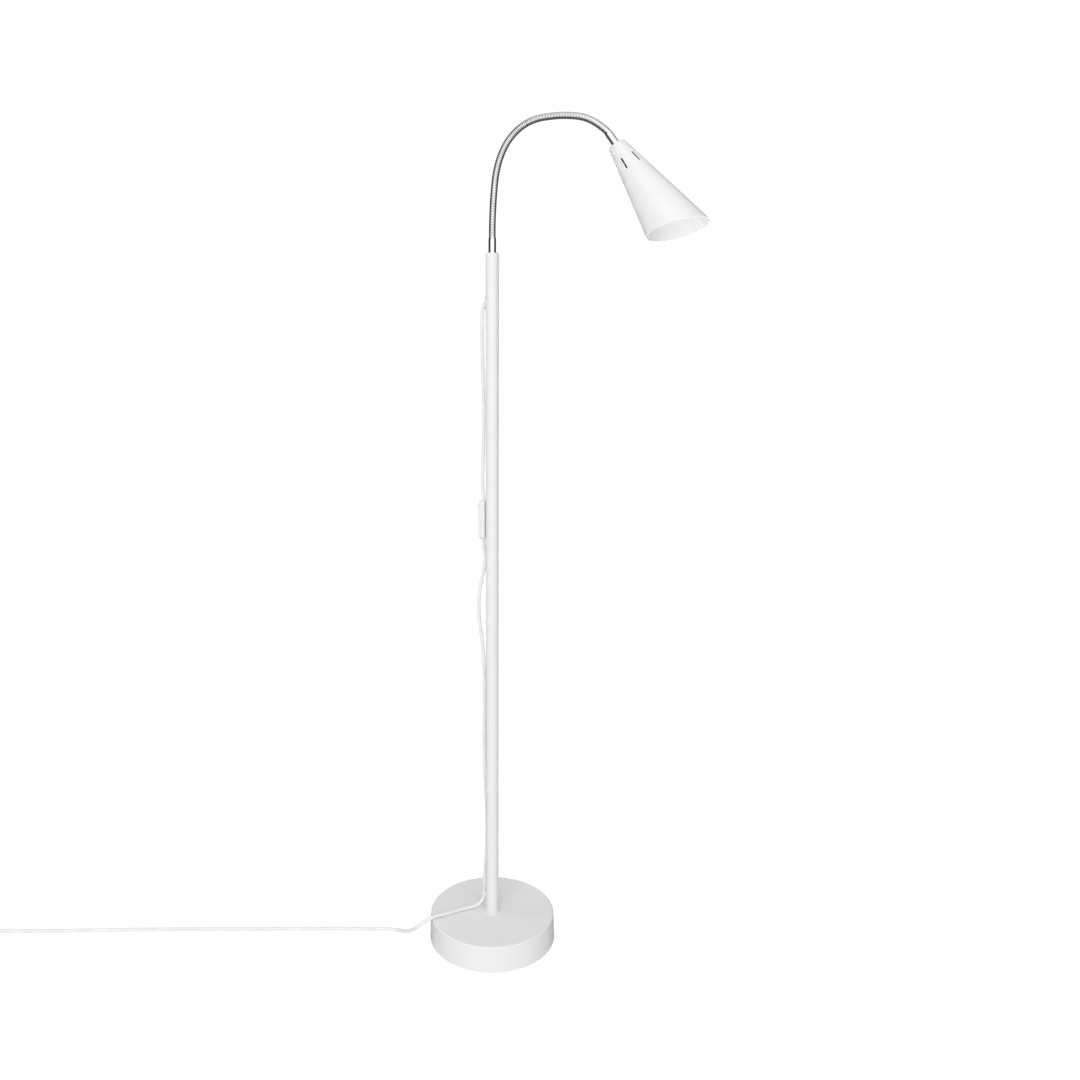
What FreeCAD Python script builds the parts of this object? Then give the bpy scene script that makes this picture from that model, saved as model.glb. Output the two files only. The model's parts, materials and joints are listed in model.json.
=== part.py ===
import FreeCAD, Part
import math
import os

# Gooseneck reading floor lamp. Millimetres, +Z up, origin on the floor at the
# centre of the base. +X is the side that the neck leans to, the cord is on -X.

V = FreeCAD.Vector

# Base: a deep-drawn steel cover over a cast weight
BASE_TOP_DIAMETER = 191.0
BASE_FOOT_DIAMETER = 194.0
BASE_HEIGHT = 40.0
BASE_WALL = 1.2
BASE_EDGE_RADIUS = 2.5
BASE_RIM_LIFT = 0.6            # the steel rim stands this far above the floor
PAD_THICKNESS = 2.0
PAD_MARGIN = 3.0
PLATE_THICKNESS = 1.5
WEIGHT_CLEARANCE = 0.8
WEIGHT_CHAMFER = 4.0
STUD_DIAMETER = 10.0
STUD_PLAY = 0.25
STUD_TAIL = 2.0                # thread left below the nut
NUT_RECESS = 3.0               # air under the nut, above the cover plate
NUT_ACROSS_FLATS = 17.0
NUT_HEIGHT = 8.0
WASHER_DIAMETER = 26.0
WASHER_THICKNESS = 2.0
NUT_POCKET_DIAMETER = 34.0

# Pole: three tubes screwed end to end
POLE_DIAMETER = 19.0
POLE_WALL = 1.0
POLE_SECTION = 338.0
COLLAR_DIAMETER = 24.0
COLLAR_HEIGHT = 2.0
COLLAR_EDGE_RADIUS = 0.6
INSERT_LENGTH = 20.0
SPIGOT_DIAMETER = 12.0
SPIGOT_LENGTH = 12.0
SPIGOT_BORE = 6.0
CAP_HEIGHT = 4.0
CAP_EDGE_RADIUS = 1.2
CAP_SPIGOT_LENGTH = 8.0
PRESS_PLAY = 0.05              # radial play of a pressed or screwed fit
DIMPLE_WIDTH = 4.2
DIMPLE_RADIUS = 1.0
DIMPLE_DEPTH = 0.7             # as a share of the wall
DIMPLE_RISE = 4.8              # above the joint that it locks

# Neck: a ribbed steel hose between two ferrules, as links that bend at pivots
NECK_DIAMETER = 10.0
NECK_RIB_DEPTH = 0.65
NECK_BORE = 6.2
NECK_SIDES = 16
RIBS_PER_LINK = 9
LINK_PITCH = 25.0              # pivot to pivot
LINK_GAP = 2.5                 # between one link's end and the next
LINK_BENDS = [0, 4, 0, 6, 12, 14, 20, 18, 16, 0, 18, 19, 16]
FERRULE_DIAMETER = 11.0
FERRULE_LENGTH = 21.0
FERRULE_TAPER_LENGTH = 3.0
FERRULE_TAPER = 0.35           # radius lost at the crimped end
FERRULE_THREAD_DIAMETER = 10.0
FERRULE_THREAD_LENGTH = 9.0
CABLE_DIAMETER = 4.4           # the lead inside the pole and neck
CABLE_BEND_RADIUS = 30.0
CABLE_TURN = 8.5               # straight run inside the cord's exit

# Shade: a spun cone with vents and a slanted mouth
SHADE_LENGTH = 142.0           # along the axis
SHADE_TOP_DIAMETER = 24.0
SHADE_MOUTH_DIAMETER = 82.0    # square to the axis, at that length
SHADE_MOUTH_TILT = 20.0        # degrees that the cut leans from square
SHADE_MOUTH_TURN = 145.0       # its longest side, round from the lower side
SHADE_WALL = 0.8
SHADE_SHOULDER_RADIUS = 3.0
VENT_COUNT = 6
VENT_LENGTH = 16.5
VENT_WIDTH = 2.3
VENT_FROM_TOP = 31.5
VENT_TURN = 35.0               # first vent, round from the lower side

# Lampholder and bulb, inside the shade
TOOTH_WASHER_DIAMETER = 17.0
TOOTH_WASHER_THICKNESS = 0.8
HOLDER_NUT_ACROSS_FLATS = 14.0
HOLDER_NUT_HEIGHT = 4.0
HOLDER_DIAMETER = 26.0
HOLDER_CAP_TOP_DIAMETER = 18.0
HOLDER_CAP_LENGTH = 20.0
HOLDER_CAP_WALL = 1.6
HOLDER_CAP_RADIUS = 3.0
HOLDER_OVERLAP = 10.0          # how far the body reaches up inside the cap
HOLDER_LENGTH = 34.0           # from the cap's rim to the holder's mouth
HOLDER_PLAY = 0.2
HOLDER_CHAMFER = 1.0
SOCKET_DIAMETER = 14.6
CONTACT_WIDTH = 4.0
CONTACT_THICKNESS = 0.5
CONTACT_LENGTH = 11.0
CONTACT_RISE = 2.5
CONTACT_SIDE_LENGTH = 5.0
BULB_CAP_DIAMETER = 13.8
BULB_CAP_LENGTH = 21.0
BULB_CAP_CONE = 3.0            # slope at the cap's contact end
BULB_STANDOFF = 0.5            # glass left clear of the holder's mouth
BULB_TIP_DIAMETER = 6.0
BULB_TIP_HEIGHT = 1.5
BULB_DIAMETER = 45.0
BULB_LENGTH = 52.0             # of the glass
BULB_WALL = 0.9
BULB_NECK_DIAMETER = 17.0
BULB_NECK_FLARE = 1.0

# Mains cord and the rocker switch on it, behind the pole
CORD_DIAMETER = 5.0
GROMMET_PLAY = 0.15
GROMMET_WALL = 0.9
GROMMET_FLANGE = 1.1
GROMMET_PROUD = 2.0
CLIP_HEIGHT = 65.0             # clip's lower end
CLIP_LENGTH = 6.0
CLIP_WALL = 1.0
CLIP_STANDOFF = 1.4            # between the pole and the cord
CLIP_PLAY = 0.5
CLIP_LIP = 1.2                 # how far each lip closes over the cord
SWITCH_LENGTH = 58.0
SWITCH_WIDTH = 16.0
SWITCH_BOTTOM = 638.0
SWITCH_BACK_DEPTH = 4.4
SWITCH_FRONT_DEPTH = 5.1
SWITCH_POLE_GAP = 0.3
SWITCH_CORNER_RADIUS = 4.5
SWITCH_EDGE_RADIUS = 1.8
SWITCH_WALL = 1.5
SWITCH_CORD_GRIP = 4.0         # how far the cord reaches into the switch
ROCKER_LENGTH = 30.0
ROCKER_WIDTH = 9.6
ROCKER_PLAY = 0.4
ROCKER_TILT = 5.3              # degrees each way
ROCKER_DROP = 3.6              # pivot below the shell's face
ROCKER_BODY = 5.0
ROCKER_FROM_TOP = 20.0         # switch's upper end to the pivot
ROCKER_PIN_DIAMETER = 2.0
ROCKER_HUB = 4.0               # half height of the key round its pin
ROCKER_HUB_WALL = 0.8
ROCKER_DRAFT = 0.6
ROCKER_ROUND = 1.0
ROCKER_VEE_RADIUS = 18.0
ROCKER_FACE_SHORT = 0.3        # face stands this much further out
BLADE_WIDTH = 4.0
BLADE_THICKNESS = 0.6
BLADE_LENGTH = 14.0
SCREW_DIAMETER = 2.2
SCREW_HEAD_DIAMETER = 4.4
SCREW_HEAD_HEIGHT = 1.2
SCREW_FROM_END = 8.2
SCREW_FROM_WINDOW = 5.0
SCREW_POST_WALL = 1.2
SCREW_SHORT = 0.5              # tip left clear of the boss's floor
PIN_INSET = 0.4                # rocker pin's ends, inside the shell's sides

# Two-pin plug on the floor
PLUG_LENGTH = 34.0
PLUG_FACE_WIDTH = 35.0
PLUG_FACE_HEIGHT = 13.8
PLUG_NECK_WIDTH = 12.0
PLUG_NECK_HEIGHT = 10.0
PLUG_CORNER_RADIUS = 4.0
RELIEF_LENGTH = 24.0
RELIEF_WALL = 1.6
RELIEF_TIP_WALL = 0.5
PIN_DIAMETER = 4.0
PIN_LENGTH = 19.0
PIN_SPACING = 19.0
PIN_ROOT = 10.0                # pin's length inside the plug
PIN_ROOT_DIAMETER = 3.0
FLOOR_CLEARANCE = 0.1

# Places that follow from the sizes
SOCKET_DEPTH = CONTACT_RISE + BULB_TIP_HEIGHT + BULB_CAP_LENGTH - BULB_STANDOFF
POLE_FOOT = BASE_HEIGHT + COLLAR_HEIGHT
POLE_TOP = POLE_FOOT + 3 * POLE_SECTION + CAP_HEIGHT
POLE_RADIUS = POLE_DIAMETER / 2
POLE_BORE_RADIUS = POLE_RADIUS - POLE_WALL
NECK_FOOT = POLE_TOP + FERRULE_LENGTH
WASHER_TOP = PAD_THICKNESS + PLATE_THICKNESS + NUT_RECESS + STUD_TAIL + NUT_HEIGHT + WASHER_THICKNESS
SWITCH_TOP = SWITCH_BOTTOM + SWITCH_LENGTH
SWITCH_BACK_X = -(POLE_RADIUS + SWITCH_POLE_GAP)
SWITCH_SPLIT_X = SWITCH_BACK_X - SWITCH_BACK_DEPTH
SWITCH_FACE_X = SWITCH_SPLIT_X - SWITCH_FRONT_DEPTH
ROCKER_Z = SWITCH_TOP - ROCKER_FROM_TOP
ROCKER_X = SWITCH_FACE_X + ROCKER_DROP

# Cord exit: the hole slants down through the back of the top tube
EXIT_DROP = 69.0               # below the pole's top
EXIT = V(-POLE_RADIUS, 0, POLE_TOP - EXIT_DROP)
EXIT_SLANT = 32.0              # degrees from straight down
CLIP_X = -(POLE_RADIUS + CLIP_STANDOFF + CORD_DIAMETER / 2)
EXIT_WAY = V(-math.sin(math.radians(EXIT_SLANT)), 0, -math.cos(math.radians(EXIT_SLANT)))

# Routes of the free cord, chosen by hand
CORD_UPPER_ROUTE = [
    (EXIT.x, 0, EXIT.z), (-14.8, 0, 982.52), (-16.6, 0.2, 970.5), (-16.8, 0.3, 952),
    (-16.3, 0.1, 920), (-15.0, -0.2, 880), (-13.5, -0.3, 846), (-13.7, 0.1, 812),
    (-15.0, 0.5, 766), (-16.4, 0.3, 732), (-15.8, 0, 713), (SWITCH_SPLIT_X, 0, 702),
    (SWITCH_SPLIT_X, 0, SWITCH_TOP - SWITCH_CORD_GRIP),
]
CORD_LOWER_ROUTE = [
    (SWITCH_SPLIT_X, 0, SWITCH_BOTTOM + SWITCH_CORD_GRIP), (SWITCH_SPLIT_X, 0, 628),
    (-12.6, 2.6, 613), (-13.6, 3.2, 596), (-18.2, 1.8, 575), (-22.6, 0.3, 547),
    (-22.0, 0, 513), (-17.2, 0.2, 480), (-13.6, 0.4, 445), (-13.3, 0.3, 395),
    (-13.5, 0.4, 325), (-13.2, 1.0, 262), (-11.8, 4.6, 215), (-11.4, 5.6, 165),
    (-12.3, 3.6, 124), (-13.2, 0.7, 97), (-13.4, 0, 78), (-13.4, 0, 60.8),
    (-19.4, -2.5, 49.5), (-29.0, -8.5, 43.0), (-40.5, -20.0, 43.1), (-51.5, -33.5, 43.1),
    (-61.5, -47.0, 43.2), (-70.5, -58.0, 44.6), (-82.0, -72.5, 39.0), (-94.0, -78.0, 24.5), (-110.0, -76.0, 9.5),
    (-130.0, -66.0, 2.8), (-156.0, -68.5, 2.6), (-490.0, -224.0, 2.6), (-540.0, -248.5, 2.6),
    (-590.0, -270.5, 2.6), (-640.0, -294.5, 2.6), (-690.0, -319.5, 2.8), (-722.0, -334.5, 4.6),
    (-738.0, -341.9, 7.0), (-749.0, -347.0, 7.0),
]


def solid(shape):
    """The one solid that a boolean leaves."""
    found = shape.Solids
    if len(found) != 1 or not found[0].isValid():
        raise ValueError("expected one valid solid, found %d" % len(found))
    return found[0]


def write(name, shape):
    shape.exportStep("parts/%s.step" % name)
    volume = sum(one.Volume for one in shape.Solids)
    print("%-24s %2d solid(s) %10.1f mm3" % (name, len(shape.Solids), volume))


def rounded_edges(points, radii, closed):
    """Straight runs through the points, joined by tangent arcs of the given radii."""
    edges = []
    count = len(points)
    marks = []
    for i in range(count):
        here = points[i]
        if not radii[i]:
            marks.append((here, None, here))
            continue
        to_here = (here - points[i - 1]).normalize()
        onward = (points[(i + 1) % count] - here).normalize()
        half = to_here.getAngle(onward) / 2
        reach = radii[i] * math.tan(half)
        inward = (onward - to_here).normalize()
        middle = here + inward * (radii[i] / math.cos(half) - radii[i])
        marks.append((here - to_here * reach, middle, here + onward * reach))
    for i, (start, middle, end) in enumerate(marks):
        if middle is not None:
            edges.append(Part.Arc(start, middle, end).toShape())
        if closed or i < count - 1:
            following = marks[(i + 1) % count][0]
            if following.distanceToPoint(end) > 1e-6:
                edges.append(Part.LineSegment(end, following).toShape())
    return edges


def lathe(outline):
    """Turn an outline of (radius, height) or (radius, height, corner radius) about Z."""
    points = [V(corner[0], 0, corner[1]) for corner in outline]
    radii = [corner[2] if len(corner) > 2 else 0 for corner in outline]
    face = Part.Face(Part.Wire(rounded_edges(points, radii, True)))
    return solid(face.revolve(V(0, 0, 0), V(0, 0, 1), 360))


def rod(radius, bottom, top):
    return Part.makeCylinder(radius, top - bottom, V(0, 0, bottom))


def ring(radius, bore, bottom, top):
    return lathe([(bore, bottom), (radius, bottom), (radius, top), (bore, top)])


def hex_nut(across_flats, bore, bottom, top):
    corner = across_flats / math.sqrt(3)
    corners = [V(corner * math.cos(math.radians(60 * i)), corner * math.sin(math.radians(60 * i)), bottom)
               for i in range(7)]
    blank = Part.Face(Part.makePolygon(corners)).extrude(V(0, 0, top - bottom))
    return solid(blank.cut(rod(bore, bottom - 1, top + 1)))


def tube_along(route, diameter, largest_radius=None):
    """A round tube on straight runs and tangent arcs; prints its tightest bend."""
    points = [V(*place) for place in route]
    runs = [points[i + 1].distanceToPoint(points[i]) for i in range(len(points) - 1)]
    radii = [0]
    for i in range(1, len(points) - 1):
        turn = (points[i] - points[i - 1]).getAngle(points[i + 1] - points[i])
        if turn < math.radians(0.05):
            radii.append(0)
            continue
        radius = 0.45 * min(runs[i - 1], runs[i]) / math.tan(turn / 2)
        radii.append(min(radius, largest_radius) if largest_radius else radius)
    radii.append(0)
    path = Part.Wire(rounded_edges(points, radii, False))
    start = Part.Circle(points[0], points[1] - points[0], diameter / 2)
    tube = solid(path.makePipeShell([Part.Wire(start.toShape())], True, False))
    drawn = [radius for radius in radii if radius]
    share = tube.Volume / (math.pi * diameter ** 2 / 4 * path.Length)
    print("  length %.1f, tightest bend %.1f, volume over section x length %.4f"
          % (path.Length, min(drawn, default=0), share))
    return tube


# ---------------------------------------------------------------- base

def cover_radius(height):
    """Outer radius of the steel cover's sloping side at a height."""
    share = height / BASE_HEIGHT
    return (BASE_FOOT_DIAMETER + share * (BASE_TOP_DIAMETER - BASE_FOOT_DIAMETER)) / 2


def make_base():
    hole = STUD_DIAMETER / 2 + STUD_PLAY
    under = BASE_HEIGHT - BASE_WALL
    top, foot = cover_radius(BASE_HEIGHT), cover_radius(BASE_RIM_LIFT)
    write("base_cover", lathe([
        (hole, under), (top - BASE_WALL, under, BASE_EDGE_RADIUS - BASE_WALL),
        (foot - BASE_WALL, BASE_RIM_LIFT), (foot, BASE_RIM_LIFT),
        (top, BASE_HEIGHT, BASE_EDGE_RADIUS), (hole, BASE_HEIGHT)]))

    gap = BASE_WALL + WEIGHT_CLEARANCE
    floor = PAD_THICKNESS + PLATE_THICKNESS
    pocket = NUT_POCKET_DIAMETER / 2
    write("base_weight", lathe([
        (hole, WASHER_TOP), (pocket, WASHER_TOP), (pocket, floor),
        (cover_radius(floor) - gap, floor),
        (cover_radius(under - WEIGHT_CHAMFER) - gap, under - WEIGHT_CHAMFER),
        (cover_radius(under) - gap - WEIGHT_CHAMFER, under), (hole, under)]))
    plate = cover_radius(PAD_THICKNESS) - gap
    write("base_plate", rod(plate, PAD_THICKNESS, floor))
    write("base_pad", rod(plate - PAD_MARGIN, 0, PAD_THICKNESS))

    washer_foot = WASHER_TOP - WASHER_THICKNESS
    nut_foot = washer_foot - NUT_HEIGHT
    stud = STUD_DIAMETER / 2
    write("base_stud", rod(stud, nut_foot - STUD_TAIL, POLE_FOOT + INSERT_LENGTH - STUD_TAIL))
    write("base_nut", hex_nut(NUT_ACROSS_FLATS, stud + PRESS_PLAY, nut_foot, washer_foot))
    write("base_washer", ring(WASHER_DIAMETER / 2, hole, washer_foot, WASHER_TOP))


# ---------------------------------------------------------------- pole

def pole_tube(bottom):
    return ring(POLE_RADIUS, POLE_BORE_RADIUS, bottom, bottom + POLE_SECTION)


def slanted(radius, start, end):
    """A rod along the cord's exit, from and to distances outward of the pole's face."""
    return Part.makeCylinder(radius, end - start, EXIT + EXIT_WAY * start, EXIT_WAY)


def top_tube(bottom):
    """The top tube, with the cord's slanting hole and one dimple at the front."""
    tube = pole_tube(bottom)
    tube = tube.cut(slanted(CORD_DIAMETER / 2 + GROMMET_PLAY + GROMMET_WALL + PRESS_PLAY,
                            -POLE_RADIUS, POLE_DIAMETER))
    tool = Part.makeCylinder(DIMPLE_RADIUS, DIMPLE_WIDTH,
                             V(-DIMPLE_WIDTH / 2, -POLE_RADIUS, bottom + DIMPLE_RISE), V(1, 0, 0))
    keep = rod(POLE_RADIUS - DIMPLE_DEPTH * POLE_WALL, bottom, bottom + 2 * DIMPLE_RISE)
    return solid(tube.cut(tool.cut(keep)))


def joint_plug(top):
    """Turned plug pressed in a tube's upper end, with a threaded spigot."""
    body, spigot, bore = POLE_BORE_RADIUS - PRESS_PLAY, SPIGOT_DIAMETER / 2, SPIGOT_BORE / 2
    return lathe([(bore, top - INSERT_LENGTH), (body, top - INSERT_LENGTH), (body, top),
                  (spigot, top), (spigot, top + SPIGOT_LENGTH), (bore, top + SPIGOT_LENGTH)])


def joint_socket(bottom):
    """Threaded insert pressed in a tube's lower end."""
    return ring(POLE_BORE_RADIUS - PRESS_PLAY, SPIGOT_DIAMETER / 2 + PRESS_PLAY,
                bottom, bottom + INSERT_LENGTH)


def make_grommet():
    bore = CORD_DIAMETER / 2 + GROMMET_PLAY
    sleeve = slanted(bore + GROMMET_WALL, -POLE_RADIUS, POLE_DIAMETER)
    flange = slanted(bore + GROMMET_WALL + GROMMET_FLANGE, -POLE_RADIUS, POLE_DIAMETER)
    reach = EXIT.z - POLE_DIAMETER, EXIT.z + POLE_DIAMETER
    outside = rod(POLE_RADIUS + GROMMET_PROUD, *reach).cut(rod(POLE_RADIUS, *reach))
    inside = rod(POLE_RADIUS, *reach).cut(rod(POLE_BORE_RADIUS - 1, *reach))
    back = Part.makeBox(POLE_DIAMETER, POLE_DIAMETER, 2 * POLE_DIAMETER,
                        V(-POLE_DIAMETER - 1, -POLE_DIAMETER / 2, reach[0]))
    body = flange.common(outside).common(back).fuse(sleeve.common(inside).common(back))
    return solid(body.cut(slanted(bore, -POLE_DIAMETER, 2 * POLE_DIAMETER)).removeSplitter())


def make_clip():
    """Small saddle on the back of the pole that holds the cord near the foot."""
    slot = CORD_DIAMETER / 2 + CLIP_PLAY
    outer = slot + CLIP_WALL
    low, high = CLIP_HEIGHT, CLIP_HEIGHT + CLIP_LENGTH
    centre = V(CLIP_X, 0, low)
    saddle = Part.makeBox(-CLIP_X, 2 * outer, CLIP_LENGTH, centre - V(0, outer, 0))
    body = saddle.fuse(Part.makeCylinder(outer, CLIP_LENGTH, centre))
    body = body.cut(rod(POLE_RADIUS, low, high))
    body = body.cut(Part.makeCylinder(slot, CLIP_LENGTH, centre))
    mouth = slot - CLIP_LIP
    return solid(body.cut(Part.makeBox(outer, 2 * mouth, CLIP_LENGTH, centre - V(outer, mouth, 0))))


def make_pole():
    write("pole_collar", lathe([
        (STUD_DIAMETER / 2 + STUD_PLAY, BASE_HEIGHT), (COLLAR_DIAMETER / 2, BASE_HEIGHT),
        (COLLAR_DIAMETER / 2, POLE_FOOT, COLLAR_EDGE_RADIUS), (STUD_DIAMETER / 2 + STUD_PLAY, POLE_FOOT)]))
    write("pole_foot_insert", ring(POLE_BORE_RADIUS - PRESS_PLAY, STUD_DIAMETER / 2 + PRESS_PLAY,
                                   POLE_FOOT, POLE_FOOT + INSERT_LENGTH))
    feet = [POLE_FOOT + i * POLE_SECTION for i in range(3)]
    write("pole_lower", pole_tube(feet[0]))
    write("pole_middle", pole_tube(feet[1]))
    write("pole_upper", top_tube(feet[2]))
    for name, height in (("lower", feet[1]), ("upper", feet[2])):
        write("joint_plug_" + name, joint_plug(height))
        write("joint_socket_" + name, joint_socket(height))
    bore, body = FERRULE_THREAD_DIAMETER / 2 + PRESS_PLAY, POLE_BORE_RADIUS - PRESS_PLAY
    seat = POLE_TOP - CAP_HEIGHT
    write("pole_cap", lathe([
        (bore, seat - CAP_SPIGOT_LENGTH), (body, seat - CAP_SPIGOT_LENGTH), (body, seat),
        (POLE_RADIUS, seat), (POLE_RADIUS, POLE_TOP, CAP_EDGE_RADIUS), (bore, POLE_TOP)]))
    write("cord_grommet", make_grommet())
    write("cord_clip", make_clip())
    inside = EXIT - EXIT_WAY * CABLE_TURN
    straight = inside.z + 2 * CABLE_TURN
    write("pole_cable", tube_along(
        [(0, 0, NECK_FOOT - FERRULE_LENGTH / 2), (0, 0, straight + CABLE_TURN),
         (inside.x / 3, 0, straight - CABLE_TURN / 2), tuple(inside), tuple(EXIT)], CABLE_DIAMETER))


# ---------------------------------------------------------------- neck

def neck_pivots():
    """Each pivot's place and the heading, in degrees above +X, of the link after it."""
    place = V(0, 0, NECK_FOOT + LINK_GAP / 2)
    heading = 90.0
    pivots = []
    for bend in LINK_BENDS:
        heading -= bend
        pivots.append((place, heading))
        way = V(math.cos(math.radians(heading)), 0, math.sin(math.radians(heading)))
        place = place + way * LINK_PITCH
    return pivots


def placed(shape, place, heading):
    """Stand a shape that was made along +Z at a place, along a heading."""
    moved = shape.copy()
    moved.Placement = FreeCAD.Placement(place, FreeCAD.Rotation(V(0, 1, 0), 90 - heading))
    return moved


def polygon_ring(radius, height):
    corners = [V(radius * math.cos(math.tau * i / NECK_SIDES), radius * math.sin(math.tau * i / NECK_SIDES),
                 height) for i in range(NECK_SIDES)]
    return corners + corners[:1]


def hose_link():
    """One link of the ribbed hose, faceted round, from half a gap past its pivot."""
    crest = NECK_DIAMETER / 2
    step = (LINK_PITCH - LINK_GAP) / (2 * RIBS_PER_LINK)
    heights = [LINK_GAP / 2 + i * step for i in range(2 * RIBS_PER_LINK + 1)]
    outside = [polygon_ring(crest - (0 if i % 2 else NECK_RIB_DEPTH), height)
               for i, height in enumerate(heights)]
    bore = [polygon_ring(NECK_BORE / 2, height) for height in (heights[0], heights[-1])]
    faces = []
    for rings in [outside, bore]:
        for low, high in zip(rings, rings[1:]):
            for i in range(NECK_SIDES):
                faces.append(Part.Face(Part.makePolygon(
                    [low[i], low[i + 1], high[i + 1], high[i], low[i]])))
    for end in (0, -1):
        disc, hole = (Part.Face(Part.makePolygon(rings[end])) for rings in (outside, bore))
        faces.append(disc.cut(hole).Faces[0])
    skin = Part.makeShell(faces)
    skin.sewShape()
    link = Part.makeSolid(skin.Shells[0])
    if link.Volume < 0:
        link.reverse()
    return solid(link)


def ferrule():
    """Turned sleeve: hose end at the origin going down, thread at the far end."""
    body, thread, bore = FERRULE_DIAMETER / 2, FERRULE_THREAD_DIAMETER / 2, NECK_BORE / 2
    end = FERRULE_LENGTH + FERRULE_THREAD_LENGTH
    return lathe([(bore, 0), (body - FERRULE_TAPER, 0), (body, FERRULE_TAPER_LENGTH),
                  (body, FERRULE_LENGTH), (thread, FERRULE_LENGTH), (thread, end), (bore, end)])


def make_neck():
    pivots = neck_pivots()
    write("neck_ferrule_lower", placed(ferrule(), V(0, 0, NECK_FOOT), -90))
    link = hose_link()
    for number, (place, heading) in enumerate(pivots[:-1], 1):
        write("neck_hose_%02d" % number, placed(link, place, heading))
    last, heading = pivots[-1]
    way = V(math.cos(math.radians(heading)), 0, math.sin(math.radians(heading)))
    upper = last + way * (LINK_GAP / 2)
    write("neck_ferrule_upper", placed(ferrule(), upper, heading))
    route = [(0, 0, NECK_FOOT - FERRULE_LENGTH / 2)]
    route += [tuple(place) for place, _ in pivots]
    route.append(tuple(upper + way * (FERRULE_LENGTH / 2)))
    write("neck_cable", tube_along(route, CABLE_DIAMETER, CABLE_BEND_RADIUS))
    return upper + way * FERRULE_LENGTH, heading


# ---------------------------------------------------------------- head
# Head pieces are drawn along +Z from the shade's top face towards its mouth.

def shade_radius(distance):
    share = distance / SHADE_LENGTH
    return (SHADE_TOP_DIAMETER + share * (SHADE_MOUTH_DIAMETER - SHADE_TOP_DIAMETER)) / 2


def vent_cutter(turn):
    """A long round-ended slot that cuts one side of the cone, along its slope."""
    half, reach = VENT_WIDTH / 2, shade_radius(VENT_FROM_TOP + VENT_LENGTH) + 5
    low = VENT_FROM_TOP - VENT_LENGTH / 2 + half
    high = VENT_FROM_TOP + VENT_LENGTH / 2 - half
    cutter = Part.makeBox(reach, VENT_WIDTH, high - low, V(0, -half, low))
    for end in (low, high):
        cutter = cutter.fuse(Part.makeCylinder(half, reach, V(0, 0, end), V(1, 0, 0)))
    cutter.rotate(V(0, 0, 0), V(0, 0, 1), turn)
    return cutter


def make_shade():
    hole = FERRULE_THREAD_DIAMETER / 2 + PRESS_PLAY
    slope = math.atan((SHADE_MOUTH_DIAMETER - SHADE_TOP_DIAMETER) / 2 / SHADE_LENGTH)
    side = SHADE_WALL / math.cos(slope)
    spun = SHADE_LENGTH + SHADE_MOUTH_DIAMETER / 2
    shade = lathe([
        (hole, 0), (shade_radius(0), 0, SHADE_SHOULDER_RADIUS), (shade_radius(spun), spun),
        (shade_radius(spun) - side, spun),
        (shade_radius(SHADE_WALL) - side, SHADE_WALL, SHADE_SHOULDER_RADIUS - SHADE_WALL),
        (hole, SHADE_WALL)])
    reach = 2 * SHADE_MOUTH_DIAMETER
    beyond = Part.makeBox(2 * reach, 2 * reach, reach, V(-reach, -reach, 0))
    beyond.rotate(V(0, 0, 0), V(0, 1, 0), -SHADE_MOUTH_TILT)
    beyond.rotate(V(0, 0, 0), V(0, 0, 1), SHADE_MOUTH_TURN)
    beyond.translate(V(0, 0, SHADE_LENGTH))
    shade = shade.cut(beyond)
    for i in range(VENT_COUNT):
        shade = shade.cut(vent_cutter(VENT_TURN + i * 360 / VENT_COUNT))
    return solid(shade)


def make_holder_cap(top):
    """The lampholder's cap, screwed on the thread below the nut."""
    rim, wall = top + HOLDER_CAP_LENGTH, HOLDER_CAP_WALL
    crown, side = HOLDER_CAP_TOP_DIAMETER / 2, HOLDER_DIAMETER / 2
    bore = FERRULE_THREAD_DIAMETER / 2 + PRESS_PLAY
    flare = top + HOLDER_CAP_LENGTH - HOLDER_OVERLAP - wall
    return lathe([
        (bore, top), (crown, top, HOLDER_CAP_RADIUS), (side, flare), (side, rim), (side - wall, rim),
        (side - wall, flare + wall), (crown - wall, top + wall), (bore, top + wall)])


def make_holder_body(rim):
    """The lampholder's body: skirt inside the cap, socket open towards the mouth."""
    skirt, side = HOLDER_DIAMETER / 2 - HOLDER_CAP_WALL - HOLDER_PLAY, HOLDER_DIAMETER / 2
    floor = rim + HOLDER_LENGTH - SOCKET_DEPTH
    socket, mouth = SOCKET_DIAMETER / 2, rim + HOLDER_LENGTH
    return lathe([
        (0, floor), (socket, floor), (socket, mouth), (side - HOLDER_CHAMFER, mouth),
        (side, mouth - 2 * HOLDER_CHAMFER), (side, rim),
        (skirt, rim), (skirt, rim - HOLDER_OVERLAP), (0, rim - HOLDER_OVERLAP)])


def make_contacts(floor):
    """Centre tongue and side spring, two bent brass strips on the socket's floor."""
    half, thick, rise = CONTACT_WIDTH / 2, CONTACT_THICKNESS, CONTACT_RISE
    foot, tip = -CONTACT_LENGTH / 2, BULB_TIP_DIAMETER / 3
    outline = [(foot, 0), (-tip / 2, rise), (tip, rise), (tip, rise - thick), (-tip / 2, rise - thick),
               (foot + 2 * thick, 0), (foot, 0)]
    tongue = Part.Face(Part.makePolygon([V(x, -half, floor + height) for x, height in outline]))
    reach = math.sqrt((SOCKET_DIAMETER / 2) ** 2 - half ** 2)
    side = Part.makeBox(thick, 2 * half, CONTACT_SIDE_LENGTH, V(reach - thick, -half, floor))
    return Part.makeCompound([tongue.extrude(V(0, 2 * half, 0)), side])


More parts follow.
